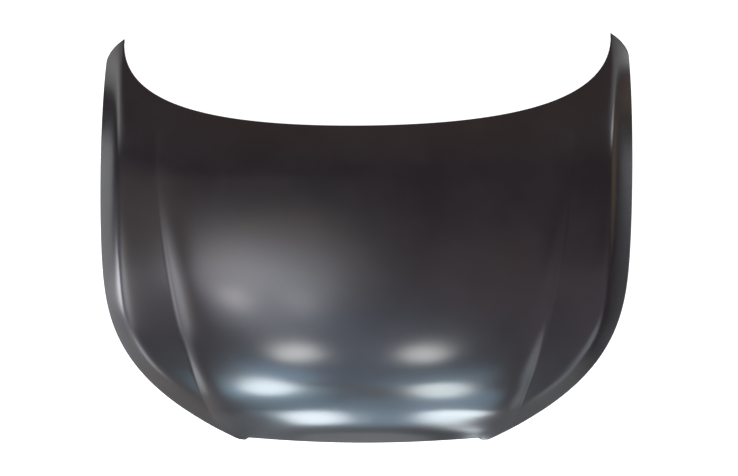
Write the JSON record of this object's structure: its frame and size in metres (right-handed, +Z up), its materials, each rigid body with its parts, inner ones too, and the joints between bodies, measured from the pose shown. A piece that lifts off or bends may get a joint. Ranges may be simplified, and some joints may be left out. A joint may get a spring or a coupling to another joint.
{
  "type": "car bonnet",
  "caption": "Steel bonnet for a family vehicle: crowned outer skin hemmed over a stamped inner frame, with hinge seats and a striker wire, in black primer.",
  "frame": {"origin": "middle of the bounding box's base, on the floor that the panel rests on", "axes": "+X across the panel to its right-hand side, +Y from the front edge towards the windscreen, +Z up, away from the engine bay"},
  "size_m": [1.499, 1.1589, 0.1515],
  "materials": {
    "primer": "satin",
    "plated_steel": "satin",
    "mastic": "matte"
  },
  "bodies": {
    "root": {"outer_skin": "primer", "inner_frame": "primer", "latch_reinforcement": "primer", "hinge_reinforcement_left": "primer", "hinge_reinforcement_right": "primer", "prop_rod_reinforcement": "primer", "latch_weld_nut_left": "primer", "latch_weld_nut_right": "primer", "hinge_weld_nut_left_front": "primer", "hinge_weld_nut_left_rear": "primer", "hinge_weld_nut_right_front": "primer", "hinge_weld_nut_right_rear": "primer", "striker_plate": "plated_steel", "striker_loop": "plated_steel", "striker_bolt_left": "plated_steel", "striker_bolt_right": "plated_steel", "mastic_dab_01": "mastic", "mastic_dab_02": "mastic", "mastic_dab_03": "mastic", "mastic_dab_04": "mastic", "mastic_dab_05": "mastic", "mastic_dab_06": "mastic", "mastic_dab_07": "mastic", "mastic_dab_08": "mastic", "mastic_dab_09": "mastic", "mastic_dab_10": "mastic", "mastic_dab_11": "mastic", "mastic_dab_12": "mastic", "mastic_dab_13": "mastic", "mastic_dab_14": "mastic", "mastic_dab_15": "mastic", "mastic_dab_16": "mastic", "mastic_dab_17": "mastic", "mastic_dab_18": "mastic", "mastic_dab_19": "mastic", "mastic_dab_20": "mastic", "mastic_dab_21": "mastic", "mastic_dab_22": "mastic", "mastic_dab_23": "mastic", "mastic_dab_24": "mastic"}
  },
  "joints": []
}
